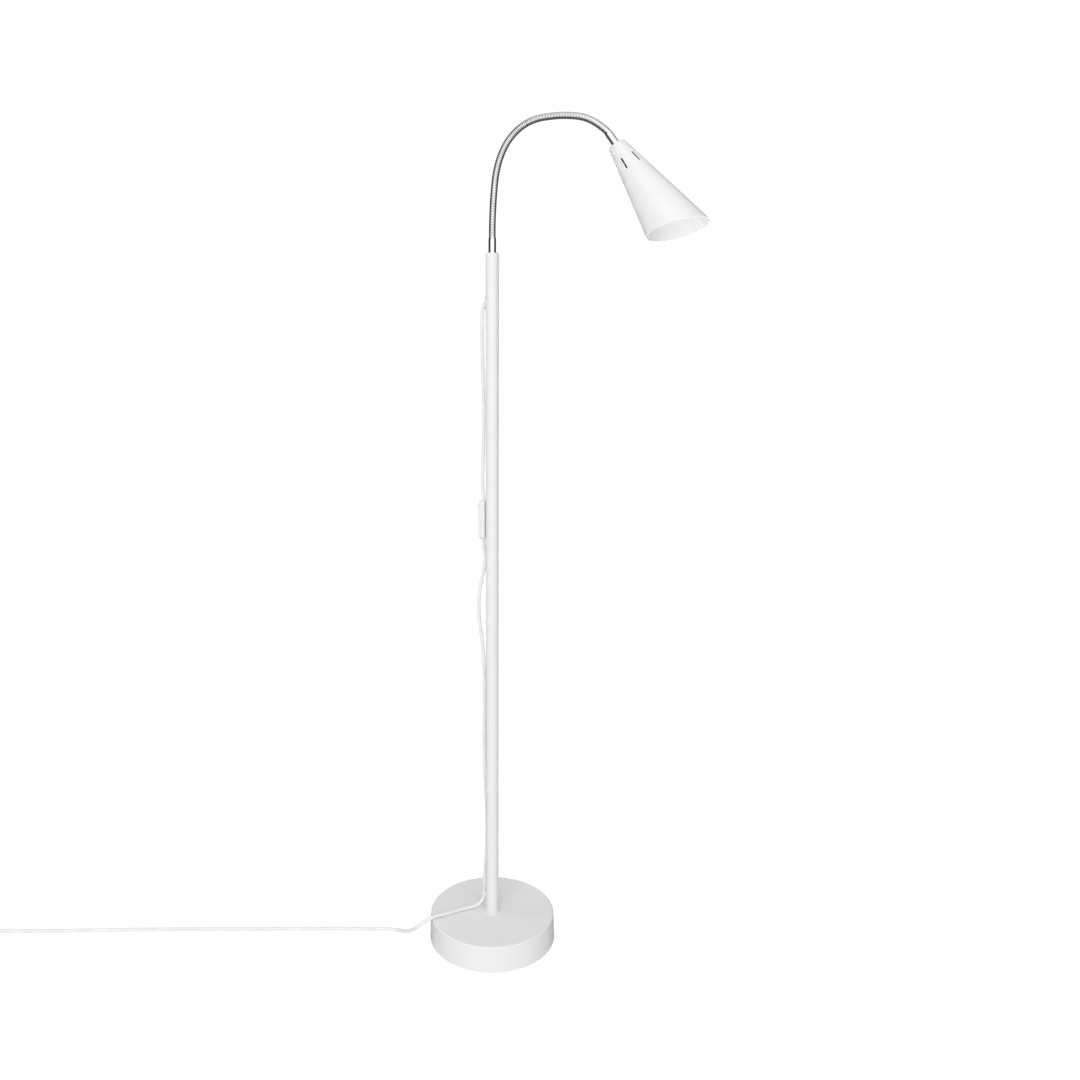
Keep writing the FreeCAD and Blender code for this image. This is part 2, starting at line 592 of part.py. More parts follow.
def make_bulb(cap_top):
    """Globe bulb: a thin glass envelope on a screw cap with a contact tip."""
    cap_end = cap_top + BULB_CAP_LENGTH
    side, tip = BULB_CAP_DIAMETER / 2, BULB_TIP_DIAMETER / 2
    cap = lathe([
        (0, cap_top - BULB_TIP_HEIGHT), (tip, cap_top - BULB_TIP_HEIGHT), (tip, cap_top),
        (side - BULB_TIP_HEIGHT, cap_top), (side, cap_top + BULB_CAP_CONE), (side, cap_end), (0, cap_end)])
    centre = V(0, 0, cap_end + BULB_LENGTH - BULB_DIAMETER / 2)

    def envelope(inset):
        neck, globe = BULB_NECK_DIAMETER / 2 - inset, BULB_DIAMETER / 2 - inset
        flare = neck + BULB_NECK_FLARE
        join = centre.z - math.sqrt(globe ** 2 - flare ** 2)
        stem = lathe([(0, cap_end + inset), (neck, cap_end + inset), (flare, join), (0, join)])
        return stem.fuse(Part.makeSphere(globe, centre))

    return cap, solid(envelope(0).cut(envelope(BULB_WALL)))


def make_head(place, heading):
    def put(name, shape):
        write(name, placed(shape, place, heading))

    put("shade", make_shade())
    thread = FERRULE_THREAD_DIAMETER / 2 + PRESS_PLAY
    nut_top = SHADE_WALL + TOOTH_WASHER_THICKNESS
    cap_top = nut_top + HOLDER_NUT_HEIGHT
    put("shade_washer", ring(TOOTH_WASHER_DIAMETER / 2, thread, SHADE_WALL, nut_top))
    put("shade_nut", hex_nut(HOLDER_NUT_ACROSS_FLATS, thread, nut_top, cap_top))
    put("lampholder_cap", make_holder_cap(cap_top))
    rim = cap_top + HOLDER_CAP_LENGTH
    put("lampholder_body", make_holder_body(rim))
    floor = rim + HOLDER_LENGTH - SOCKET_DEPTH
    put("lampholder_contacts", make_contacts(floor))
    cap, glass = make_bulb(floor + CONTACT_RISE + BULB_TIP_HEIGHT)
    put("bulb_cap", cap)
    put("bulb_glass", glass)
    start = -FERRULE_LENGTH / 2
    put("head_cable", rod(CABLE_DIAMETER / 2, start, rim - HOLDER_OVERLAP))


# ---------------------------------------------------------------- switch

def switch_block(face, depth, inset):
    """A rounded slab of the switch's outline, growing outward from x = face."""
    length, width = SWITCH_LENGTH - 2 * inset, SWITCH_WIDTH - 2 * inset
    corner = SWITCH_CORNER_RADIUS - inset
    low, side = SWITCH_BOTTOM + inset, width / 2
    points = [V(face, -side, low), V(face, side, low), V(face, side, low + length), V(face, -side, low + length)]
    outline = Part.Wire(rounded_edges(points, [corner] * 4, True))
    return Part.Face(outline).extrude(V(-depth, 0, 0))


def round_rim(block, x):
    """Round the edges of a slab's face at x."""
    rim = [edge for edge in block.Edges if abs(edge.BoundBox.XMin - x) < 1e-6 and abs(edge.BoundBox.XMax - x) < 1e-6]
    return block.makeFillet(SWITCH_EDGE_RADIUS, rim)


def along_switch(radius, low, high):
    return Part.makeCylinder(radius, high - low, V(SWITCH_SPLIT_X, 0, low))


def screw_heights():
    window_low = ROCKER_Z - ROCKER_LENGTH / 2 - ROCKER_PLAY
    return (SWITCH_BOTTOM + SCREW_FROM_END, window_low - SCREW_FROM_WINDOW)


def make_switch():
    grip = CORD_DIAMETER / 2 + GROMMET_PLAY
    wall = SWITCH_WALL
    cord_way = along_switch(grip, SWITCH_BOTTOM - 1, SWITCH_TOP + 1)
    back = round_rim(switch_block(SWITCH_BACK_X, SWITCH_BACK_DEPTH, 0), SWITCH_BACK_X)
    hollow = switch_block(SWITCH_BACK_X - wall, SWITCH_BACK_DEPTH, wall)
    back = back.cut(hollow).cut(cord_way)
    front = round_rim(switch_block(SWITCH_SPLIT_X, SWITCH_FRONT_DEPTH, 0), SWITCH_FACE_X)
    front = front.cut(switch_block(SWITCH_SPLIT_X, SWITCH_FRONT_DEPTH - wall, wall)).cut(cord_way)
    window_long = ROCKER_LENGTH + 2 * ROCKER_PLAY
    window_wide = ROCKER_WIDTH + 2 * ROCKER_PLAY
    front = front.cut(Part.makeBox(SWITCH_FRONT_DEPTH, window_wide, window_long,
                                   V(SWITCH_FACE_X - 1, -window_wide / 2, ROCKER_Z - window_long / 2)))
    pin = ROCKER_PIN_DIAMETER / 2
    pin_half = SWITCH_WIDTH / 2 - PIN_INSET
    pin_hole = Part.makeCylinder(pin + PRESS_PLAY, 2 * pin_half, V(ROCKER_X, -pin_half, ROCKER_Z), V(0, 1, 0))
    front = front.cut(pin_hole)

    head, shank = SCREW_HEAD_DIAMETER / 2, SCREW_DIAMETER / 2
    screws = []
    for height in screw_heights():
        post = Part.makeCylinder(shank + SCREW_POST_WALL, SWITCH_BACK_DEPTH - wall, V(SWITCH_BACK_X - wall, 0, height), V(-1, 0, 0))
        boss = Part.makeCylinder(shank + SCREW_POST_WALL, SWITCH_FRONT_DEPTH - wall, V(SWITCH_SPLIT_X, 0, height), V(-1, 0, 0))
        back, front = back.fuse(post), front.fuse(boss)
        drill = Part.makeCylinder(shank + PRESS_PLAY, SWITCH_BACK_DEPTH + SWITCH_FRONT_DEPTH - wall,
                                  V(SWITCH_BACK_X, 0, height), V(-1, 0, 0))
        seat = Part.makeCylinder(head + PRESS_PLAY, SCREW_HEAD_HEIGHT, V(SWITCH_BACK_X, 0, height), V(-1, 0, 0))
        back, front = back.cut(drill).cut(seat), front.cut(drill)
        screw = Part.makeCylinder(shank, SWITCH_BACK_DEPTH + SWITCH_FRONT_DEPTH - wall - SCREW_SHORT,
                                  V(SWITCH_BACK_X, 0, height), V(-1, 0, 0))
        cap = Part.makeCylinder(head, SCREW_HEAD_HEIGHT, V(SWITCH_BACK_X, 0, height), V(-1, 0, 0))
        screws.append(solid(screw.fuse(cap).removeSplitter()))
    write("switch_back_shell", solid(back))
    write("switch_front_shell", solid(front))
    write("switch_screws", Part.makeCompound(screws))
    write("rocker_pin", Part.makeCylinder(pin, 2 * pin_half, V(ROCKER_X, -pin_half, ROCKER_Z), V(0, 1, 0)))
    write("switch_rocker", make_rocker())

    blade_x = SWITCH_BACK_X - wall
    blades = [Part.makeBox(BLADE_THICKNESS, BLADE_WIDTH, BLADE_LENGTH,
                           V(blade_x - BLADE_THICKNESS, -BLADE_WIDTH / 2, low))
              for low in (ROCKER_Z - BLADE_LENGTH - 1, ROCKER_Z + 1)]
    write("switch_contacts", Part.makeCompound(blades))


def make_rocker():
    """Shallow vee-faced key on its pin; its upper end stands out at rest."""
    half, rise = ROCKER_LENGTH / 2, math.tan(math.radians(ROCKER_TILT)) * ROCKER_LENGTH / 2
    face = ROCKER_DROP + ROCKER_FACE_SHORT
    root, back = -face - rise + ROCKER_BODY, ROCKER_PIN_DIAMETER / 2 + ROCKER_HUB_WALL
    outline = [V(-face - rise, 0, half), V(-face, 0, 0), V(-face - rise, 0, -half),
               V(root, 0, ROCKER_DRAFT - half), V(back, 0, -ROCKER_HUB), V(back, 0, ROCKER_HUB),
               V(root, 0, half - ROCKER_DRAFT)]
    tip, foot, hub = ROCKER_ROUND, ROCKER_ROUND / 2, ROCKER_ROUND * 4 / 5
    radii = [tip, ROCKER_VEE_RADIUS, tip, foot, hub, hub, foot]
    side = Part.Face(Part.Wire(rounded_edges(outline, radii, True)))
    key = side.extrude(V(0, ROCKER_WIDTH, 0))
    key.translate(V(0, -ROCKER_WIDTH / 2, 0))
    key = key.cut(Part.makeCylinder(ROCKER_PIN_DIAMETER / 2 + PRESS_PLAY, ROCKER_WIDTH + 2,
                                    V(0, -ROCKER_WIDTH / 2 - 1, 0), V(0, 1, 0)))
    key.rotate(V(0, 0, 0), V(0, 1, 0), -ROCKER_TILT)
    key.translate(V(ROCKER_X, 0, ROCKER_Z))
    return solid(key)


# ---------------------------------------------------------------- cord and plug

def rounded_section(width, height, corner, distance):
    """A rounded rectangle across +Z, for the plug's loft."""
    points = [V(-width / 2, -height / 2, distance), V(width / 2, -height / 2, distance),
              V(width / 2, height / 2, distance), V(-width / 2, height / 2, distance)]
    return Part.Wire(rounded_edges(points, [corner] * 4, True))


def make_plug():
    end, before = V(*CORD_LOWER_ROUTE[-1]), V(*CORD_LOWER_ROUTE[-2])
    way = V(end.x - before.x, end.y - before.y, 0).normalize()
    turn = FreeCAD.Rotation(V(-way.y, way.x, 0), V(0, 0, 1), way, "ZYX")
    place = FreeCAD.Placement(V(end.x, end.y, PLUG_FACE_HEIGHT / 2 + FLOOR_CLEARANCE), turn)

    tip = CORD_DIAMETER / 2 + RELIEF_TIP_WALL
    relief = lathe([(0, 0), (tip, 0), (CORD_DIAMETER / 2 + RELIEF_WALL, RELIEF_LENGTH), (0, RELIEF_LENGTH)])
    sections = [rounded_section(PLUG_NECK_WIDTH, PLUG_NECK_HEIGHT, PLUG_CORNER_RADIUS, RELIEF_LENGTH),
                rounded_section(PLUG_FACE_WIDTH, PLUG_FACE_HEIGHT, PLUG_CORNER_RADIUS,
                                RELIEF_LENGTH + PLUG_LENGTH)]
    body = Part.makeLoft(sections, True, True)
    pins, face = [], RELIEF_LENGTH + PLUG_LENGTH
    for side in (-1, 1):
        at = V(side * PIN_SPACING / 2, 0, face - PIN_ROOT)
        root = Part.makeCylinder(PIN_ROOT_DIAMETER / 2, PIN_ROOT, at)
        body = body.cut(root)
        pin = Part.makeCylinder(PIN_DIAMETER / 2, PIN_LENGTH, at + V(0, 0, PIN_ROOT))
        tip = [edge for edge in pin.Edges if edge.BoundBox.ZMin > face + PIN_LENGTH - 0.01]
        pins.append(solid(pin.makeFillet(PIN_DIAMETER / 4, tip).fuse(root)))
    body = solid(body.fuse(relief))
    for name, shape in (("plug_body", body), ("plug_pins", Part.makeCompound(pins))):
        shape.Placement = place
        write(name, shape)


def make_cord():
    write("cord_upper", tube_along(CORD_UPPER_ROUTE, CORD_DIAMETER))
    write("cord_lower", tube_along(CORD_LOWER_ROUTE, CORD_DIAMETER))


def main():
    os.makedirs("parts", exist_ok=True)
    make_base()
    make_pole()
    make_head(*make_neck())
    make_switch()
    make_cord()
    make_plug()


main()
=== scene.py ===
import bpy
import json
import math
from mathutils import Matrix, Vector

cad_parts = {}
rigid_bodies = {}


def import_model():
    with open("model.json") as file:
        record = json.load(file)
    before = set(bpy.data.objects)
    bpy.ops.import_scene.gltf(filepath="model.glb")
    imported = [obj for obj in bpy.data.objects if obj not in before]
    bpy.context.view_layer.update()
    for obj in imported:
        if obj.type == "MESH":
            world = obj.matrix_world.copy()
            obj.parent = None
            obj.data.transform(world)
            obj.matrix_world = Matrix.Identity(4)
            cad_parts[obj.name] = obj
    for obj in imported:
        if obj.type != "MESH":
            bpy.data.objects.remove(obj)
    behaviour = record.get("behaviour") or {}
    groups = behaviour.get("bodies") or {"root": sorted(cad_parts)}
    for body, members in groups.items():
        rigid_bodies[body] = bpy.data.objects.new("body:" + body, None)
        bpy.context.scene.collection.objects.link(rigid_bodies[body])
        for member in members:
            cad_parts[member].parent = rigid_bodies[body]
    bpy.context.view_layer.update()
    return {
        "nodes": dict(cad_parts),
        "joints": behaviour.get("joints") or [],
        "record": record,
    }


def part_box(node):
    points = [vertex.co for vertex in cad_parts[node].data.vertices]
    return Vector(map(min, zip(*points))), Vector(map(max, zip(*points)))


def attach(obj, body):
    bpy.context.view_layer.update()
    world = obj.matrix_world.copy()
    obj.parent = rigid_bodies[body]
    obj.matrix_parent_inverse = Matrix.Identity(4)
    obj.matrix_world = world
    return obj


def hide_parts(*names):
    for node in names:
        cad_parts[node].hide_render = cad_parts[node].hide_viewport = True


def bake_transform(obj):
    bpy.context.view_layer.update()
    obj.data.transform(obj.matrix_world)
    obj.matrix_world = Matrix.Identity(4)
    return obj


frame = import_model()
scene = bpy.context.scene
scene.view_settings.view_transform = "Standard"
nodes = frame["nodes"]


# the camera stands where the photograph's did
cameraLook = {
    "place": (0.7011, -1.5036, 1.0885),
    "tilt": 81.2,        # degrees up from straight down
    "turn": 25.0,        # degrees round from the lamp's side
    "lens": 38.33,       # mm, on a sensor this wide
    "sensor": 36,
    "shift": (0.0442, -0.12),
    "clip": (0.05, 60),
}


def makeCamera(look):
    lens = bpy.data.cameras.new("photoCamera")
    lens.lens, lens.sensor_width = look["lens"], look["sensor"]
    lens.shift_x, lens.shift_y = look["shift"]
    lens.clip_start, lens.clip_end = look["clip"]
    camera = bpy.data.objects.new("photoCamera", lens)
    camera.location = look["place"]
    camera.rotation_euler = (math.radians(look["tilt"]), 0, math.radians(look["turn"]))
    scene.collection.objects.link(camera)
    scene.camera = camera


makeCamera(cameraLook)
print("camera placed")


class Wire:
    # a number's socket that takes part in sums
    def __init__(self, net, socket):
        self.net, self.socket = net, socket

    def combine(self, operation, *values):
        node = self.net.add("ShaderNodeMath", dict(enumerate(values)), operation=operation)
        return Wire(self.net, node.outputs[0])

    def __add__(self, other):
        return self.combine("ADD", self, other)

    def __sub__(self, other):
        return self.combine("SUBTRACT", self, other)

    def __rsub__(self, other):
        return self.combine("SUBTRACT", other, self)

    def __mul__(self, other):
        return self.combine("MULTIPLY", self, other)

    def __truediv__(self, other):
        return self.combine("DIVIDE", self, other)

    def __rtruediv__(self, other):
        return self.combine("DIVIDE", other, self)

    def __pow__(self, other):
        return self.combine("POWER", self, other)

    def __rpow__(self, other):
        return self.combine("POWER", other, self)

    __radd__, __rmul__ = __add__, __mul__

    def changed(self, operation):
        return self.combine(operation, self)

    def larger(self, other):
        return self.combine("MAXIMUM", self, other)

    def smaller(self, other):
        return self.combine("MINIMUM", self, other)

    def limited(self, low, high):
        return self.larger(low).smaller(high)

    def rising(self, low, high):
        # 0 below low, 1 above high
        return ((self - low) / (high - low)).limited(0, 1)


class Net:
    # a node tree, of a shader or of geometry, that adds its own nodes
    def __init__(self, tree):
        self.tree = tree

    def add(self, kind, inputs=None, **settings):
        node = self.tree.nodes.new(kind)
        for name, value in settings.items():
            setattr(node, name, value)
        for name, value in (inputs or {}).items():
            self.feed(node.inputs[name], value)
        return node

    def feed(self, target, value):
        source = value.socket if isinstance(value, Wire) else value
        if isinstance(source, bpy.types.NodeSocket):
            self.tree.links.new(source, target)
        else:
            target.default_value = source

    def wire(self, socket):
        return Wire(self, socket)


# each finish mixes two tones by a cloudy noise, and a finer noise may raise a grain on it
# cloud, grain: a noise's scale and detail; contrast: the cloud's gain and start
# rough: the least roughness, what a noise adds to it, and which noise
finishLooks = {
    "white_paint": {         # oven-baked powder coat with a slight orange peel
        "name": "whitePaint", "tones": ((0.835, 0.835, 0.83), (0.86, 0.86, 0.86)),
        "cloud": (14, 4), "contrast": (2.4, -0.7), "rough": (0.29, 0.14, "cloud"),
        "grain": (900, 2), "depth": 0.00004,
    },
    "bright_steel": {        # polished spring steel with faint handling smears
        "name": "brightSteel", "tones": ((0.77, 0.77, 0.785), (0.86, 0.86, 0.87)), "metallic": 1,
        "cloud": (60, 5), "contrast": (3, -1), "rough": (0.08, 0.16, "cloud"),
        "grain": (1500, 2), "depth": 0.00001,
    },
    "zinc_steel": {
        "name": "zincSteel", "tones": ((0.48, 0.49, 0.50), (0.60, 0.61, 0.62)), "metallic": 1,
        "cloud": (90, 4), "rough": (0.24, 0.3, "cloud"),
        "grain": (1200, 3), "depth": 0.00002,
    },
    "cast_weight": {         # iron with the skin of its sand mould
        "name": "castWeight", "tones": ((0.11, 0.11, 0.11), (0.22, 0.22, 0.215)),
        "cloud": (30, 5), "rough": (0.65, 0.25, "grain"),
        "grain": (420, 6), "depth": 0.0004,
    },
    "white_plastic": {       # moulded, with the fine spark-eroded grain of a switch shell
        "name": "whitePlastic", "tones": ((0.82, 0.82, 0.81), (0.85, 0.85, 0.845)),
        "cloud": (26, 3), "contrast": (2, -0.5), "rough": (0.27, 0.12, "grain"),
        "grain": (2600, 2), "depth": 0.00003,
    },
    "dark_plastic": {        # phenolic of the lampholder, dull and a little streaked
        "name": "darkPlastic", "tones": ((0.02, 0.02, 0.021), (0.045, 0.045, 0.045)),
        "cloud": (130, 3), "rough": (0.34, 0.2, "cloud"),
    },
    "white_cord": {
        "name": "cordSheath", "tones": ((0.81, 0.81, 0.80), (0.88, 0.88, 0.875)),
        "cloud": (38, 4), "contrast": (2.6, -0.7), "rough": (0.36, 0.2, "cloud"),
        "grain": (1900, 3), "depth": 0.00004,
    },
    "brass": {               # stained strip
        "name": "brassStrip", "tones": ((0.50, 0.36, 0.17), (0.76, 0.57, 0.27)), "metallic": 1,
        "cloud": (240, 4), "rough": (0.2, 0.3, "cloud"),
    },
    "nickel_pins": {         # plating rubbed by sockets
        "name": "nickelPins", "tones": ((0.60, 0.58, 0.54), (0.74, 0.73, 0.70)), "metallic": 1,
        "cloud": (300, 3), "rough": (0.12, 0.2, "cloud"),
    },
    "rubber_pad": {          # foam: its cells are both the tones and the grain
        "name": "padRubber", "tones": ((0.025, 0.025, 0.025), (0.06, 0.06, 0.06)),
        "cloud": (1100, 4), "rough": (0.85, 0, "cloud"),
        "grain": (1100, 4), "depth": 0.00015,
    },
    "opal_glass": {          # powdered inside the globe
        "name": "opalGlass", "tones": ((0.87, 0.87, 0.84), (0.92, 0.92, 0.905)),
        "cloud": (50, 3), "rough": (0.16, 0.12, "cloud"),
    },
}


def makeFinish(look):
    first, second = look["tones"]
    material = bpy.data.materials.new(look["name"])
    material.use_nodes = True
    material.diffuse_color = (*second, 1)
    net = Net(material.node_tree)
    shader = next(node for node in net.tree.nodes if node.type == "BSDF_PRINCIPLED")
    place = net.add("ShaderNodeTexCoord").outputs["Object"]
    noises = {}
    for part in ("cloud", "grain"):
        if part in look:
            scale, detail = look[part]
            texture = net.add("ShaderNodeTexNoise", {"Vector": place, "Scale": scale, "Detail": detail})
            noises[part] = net.wire(texture.outputs["Fac"])
    gain, start = look.get("contrast", (1, 0))
    share = (noises["cloud"] * gain + start).limited(0, 1)
    tones = net.add("ShaderNodeMix", {"A": (*first, 1), "B": (*second, 1), "Factor": share},
                    data_type="RGBA")
    least, added, part = look["rough"]
    net.feed(shader.inputs["Base Color"], tones.outputs["Result"])
    net.feed(shader.inputs["Roughness"], noises[part] * added + least)
    net.feed(shader.inputs["Metallic"], look.get("metallic", 0))
    if "grain" in look:
        bump = net.add("ShaderNodeBump", {"Distance": look["depth"], "Height": noises["grain"]})
        net.feed(shader.inputs["Normal"], bump.outputs["Normal"])
    return material


finishes = {slot: makeFinish(look) for slot, look in finishLooks.items()}
print("finishes made:", len(finishes))

# pieces that don't show their slot's finish
ownFinish = {"lampholder_cap": "dark_plastic", "lampholder_body": "dark_plastic"}


def dressNodes():
    slots = {piece["node"]: piece["material_slot"] for piece in frame["record"]["subparts"]}
    for name, node in nodes.items():
        for slot in node.material_slots:
            slot.material = finishes[ownFinish.get(name, slots[name])]


dressNodes()
print("frame nodes dressed")


# free cord: the routes are the part's own in metres, eased by up to a centimetre where it lands
cordLayout = {
    "diameter": 0.005,
    "order": 3,
    "steps": 12,         # to a point of the route
    "roundness": 5,
    "upper": [
        (-0.0095, 0, 0.991), (-0.0148, 0, 0.98252), (-0.0166, 0.0002, 0.9705), (-0.0168, 0.0003, 0.952),
        (-0.0163, 0.0001, 0.920), (-0.0150, -0.0002, 0.880), (-0.0135, -0.0003, 0.846),
        (-0.0137, 0.0001, 0.812), (-0.0150, 0.0005, 0.766), (-0.0164, 0.0003, 0.732),
        (-0.0158, 0, 0.713), (-0.0142, 0, 0.702), (-0.0142, 0, 0.692),
    ],
    "lower": [
        (-0.0142, 0, 0.642), (-0.0142, 0, 0.628), (-0.0126, 0.0026, 0.613), (-0.0136, 0.0032, 0.596),
        (-0.0182, 0.0018, 0.575), (-0.0226, 0.0003, 0.547), (-0.0220, 0, 0.513),
        (-0.0172, 0.0002, 0.480), (-0.0136, 0.0004, 0.445), (-0.0133, 0.0003, 0.395),
        (-0.0135, 0.0004, 0.325), (-0.0132, 0.0010, 0.262), (-0.0118, 0.0046, 0.215),
        (-0.0114, 0.0056, 0.165), (-0.0123, 0.0036, 0.124), (-0.0132, 0.0007, 0.097),
        (-0.0134, 0, 0.078), (-0.0134, 0, 0.0608), (-0.0194, -0.0025, 0.0495),
        (-0.0290, -0.0085, 0.0430), (-0.0405, -0.0200, 0.0431), (-0.0515, -0.0335, 0.0431),
        (-0.0615, -0.0470, 0.0432), (-0.0705, -0.0580, 0.0446), (-0.0830, -0.0700, 0.0390),
        (-0.0970, -0.0720, 0.0245), (-0.1150, -0.0672, 0.0112), (-0.1350, -0.0575, 0.0031),
        (-0.1640, -0.0652, 0.0026), (-0.4900, -0.2200, 0.0026), (-0.5400, -0.2450, 0.0026),
        (-0.5900, -0.2705, 0.0026), (-0.6400, -0.2945, 0.0026), (-0.6900, -0.3195, 0.0028),
        (-0.7220, -0.3345, 0.0046), (-0.7380, -0.3419, 0.0070), (-0.7490, -0.3470, 0.0070),
    ],
}


def cordCurve(name, route, look):
    curve = bpy.data.curves.new(name, "CURVE")
    curve.dimensions = "3D"
    spline = curve.splines.new("NURBS")
    spline.points.add(len(route) - 1)
    for point, place in zip(spline.points, route):
        point.co = (*place, 1)
    spline.order_u = look["order"]
    spline.use_endpoint_u = True
    spline.resolution_u = look["steps"]
    curve.bevel_depth = look["diameter"] / 2
    curve.bevel_resolution = look["roundness"]
    curve.use_fill_caps = True
    curve.materials.append(finishes["white_cord"])
    cord = bpy.data.objects.new(name, curve)
    scene.collection.objects.link(cord)
    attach(cord, "stand")
    return cord


upperCord = cordCurve("upperCord", cordLayout["upper"], cordLayout)
lowerCord = cordCurve("lowerCord", cordLayout["lower"], cordLayout)
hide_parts("cord_upper")
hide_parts("cord_lower")
print("cords laid")


# gooseneck: one length of ribbed hose through each pivot of the neck
hoseLook = {
    "radius": 0.005,
    "ribDepth": 0.0005,
    "crest": 0.6,            # under 1: a round crest and a sharp valley
    "ribsPerLink": 11,
    "samplesPerRib": 8,
    "sides": 28,
    "lineSteps": 48,
    "ferruleGap": 0.05,      # from the outermost pivots to the ferrules, as a share of a link
    "tuck": 0.002,           # how far the hose reaches into each ferrule
    "fromAbove": (4, 8, 11),
    "parted": 7,
    "partedGap": 0.00055,    # each half stops this far from the pivot
    "sleeveRadius": 0.00415,
    "sleeveReach": 0.0013,   # the sleeve inside both halves, from the pivot
}


def hoseTree(look):
    tree = bpy.data.node_groups.new("ribbedHose", "GeometryNodeTree")
    face = tree.interface
    face.new_socket("Line", in_out="INPUT", socket_type="NodeSocketGeometry")
    for name, kind, value in (("Radius", "NodeSocketFloat", look["radius"]),
                              ("Rib Depth", "NodeSocketFloat", look["ribDepth"]),
                              ("Ribs", "NodeSocketInt", look["ribsPerLink"]),
                              ("Samples", "NodeSocketInt", look["samplesPerRib"]),
                              ("Sides", "NodeSocketInt", look["sides"])):
        face.new_socket(name, in_out="INPUT", socket_type=kind).default_value = value
    face.new_socket("Metal", in_out="INPUT", socket_type="NodeSocketMaterial")
    face.new_socket("Hose", in_out="OUTPUT", socket_type="NodeSocketGeometry")
    net = Net(tree)
    given = net.add("NodeGroupInput").outputs
    radius, ribDepth, ribs = (net.wire(given[name]) for name in ("Radius", "Rib Depth", "Ribs"))
    along = net.wire(net.add("GeometryNodeSplineParameter").outputs["Factor"])

    steps = ribs * given["Samples"] + 1
    line = net.add("GeometryNodeResampleCurve", {"Curve": given["Line"], "Count": steps})
    crest = (along * ribs * math.pi).changed("SINE").changed("ABSOLUTE") ** look["crest"]
    swell = net.add("GeometryNodeSetCurveRadius",
                    {"Curve": line.outputs["Curve"], "Radius": radius - (1 - crest) * ribDepth})
    profile = net.add("GeometryNodeCurvePrimitiveCircle", {"Resolution": given["Sides"], "Radius": 1})
    skin = net.add("GeometryNodeCurveToMesh", {
        "Curve": swell.outputs["Curve"], "Profile Curve": profile.outputs["Curve"],
        "Scale": net.add("GeometryNodeInputRadius").outputs[0]})
    smooth = net.add("GeometryNodeSetShadeSmooth", {"Geometry": skin.outputs["Mesh"]})
    realized = net.add("GeometryNodeRealizeInstances", {"Geometry": smooth.outputs["Geometry"]})
    coated = net.add("GeometryNodeSetMaterial",
                     {"Geometry": realized.outputs["Geometry"], "Material": given["Metal"]})
    net.add("NodeGroupOutput", {"Hose": coated.outputs["Geometry"]})
    return tree


def spanReach(start, end):
    return (end - start).length / 3


def spanMiddle(start, startWay, end, endWay):
    # where arcLine's span is half way, and its direction there
    reach = spanReach(start, end)
    middle = ((startWay - endWay) * reach * 3 + (start + end) * 4) / 8
    return middle, ((end - start) * 2 - (startWay + endWay) * reach).normalized()


def arcLine(start, startWay, end, endWay, steps):
    # one Bezier span between two places of the neck
    curve = bpy.data.curves.new("hoseLine", "CURVE")
    curve.dimensions = "3D"
    curve.resolution_u = steps
    spline = curve.splines.new("BEZIER")
    spline.bezier_points.add(1)
    first, last = spline.bezier_points
    reach = spanReach(start, end)
    first.co, last.co = start, end
    first.handle_left, first.handle_right = start - startWay * reach, start + startWay * reach
    last.handle_left, last.handle_right = end - endWay * reach, end + endWay * reach
    line = bpy.data.objects.new("hoseLine", curve)
    scene.collection.objects.link(line)
    return line


def meshFrom(source, tree, inputs, name):
    # runs a node tree on an object and keeps the plain mesh
    ids = {item.name: item.identifier for item in tree.interface.items_tree if item.in_out == "INPUT"}
    modifier = source.modifiers.new("grow", "NODES")
    modifier.node_group = tree
    for label, value in inputs.items():
        modifier[ids[label]] = value
    bpy.context.view_layer.update()
    ready = source.evaluated_get(bpy.context.evaluated_depsgraph_get())
    mesh = bpy.data.meshes.new_from_object(ready)
    source.modifiers.remove(modifier)
    bpy.data.objects.remove(source)
    piece = bpy.data.objects.new(name, mesh)
    scene.collection.objects.link(piece)
    return piece


def neckPlaces():
    # each bending joint's place and the bodies on its two sides, from the foot up
    body, found = "stand", []
    byParent = {joint["parent"]: joint for joint in frame["joints"] if joint["name"].startswith("neck")}
    while body in byParent:
        joint = byParent[body]
        found.append((Vector(joint["pos_m"]), joint["parent"], joint["child"]))
        body = joint["child"]
    return found


def headAxis():
    # down the middle of the shade, on which its washer and bulb lie
    def middle(name):
        low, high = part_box(name)
        return (Vector(low) + Vector(high)) / 2
    axis = middle("bulb_glass") - middle("shade_washer")
    return axis.normalized()


def easedWays(pivots, shadeAxis):
    # the hose's direction at the foot, half way along each link and at the shade,
    # each eased by its neighbours
    links = [(b - a).normalized() for a, b in zip(pivots, pivots[1:])]
    ways = [Vector((0, 0, 1))] + links + [shadeAxis]
    eased = [(a + b * 2 + c).normalized() for a, b, c in zip(ways, ways[1:], ways[2:])]
    return [ways[0]] + eased + [ways[-1]]


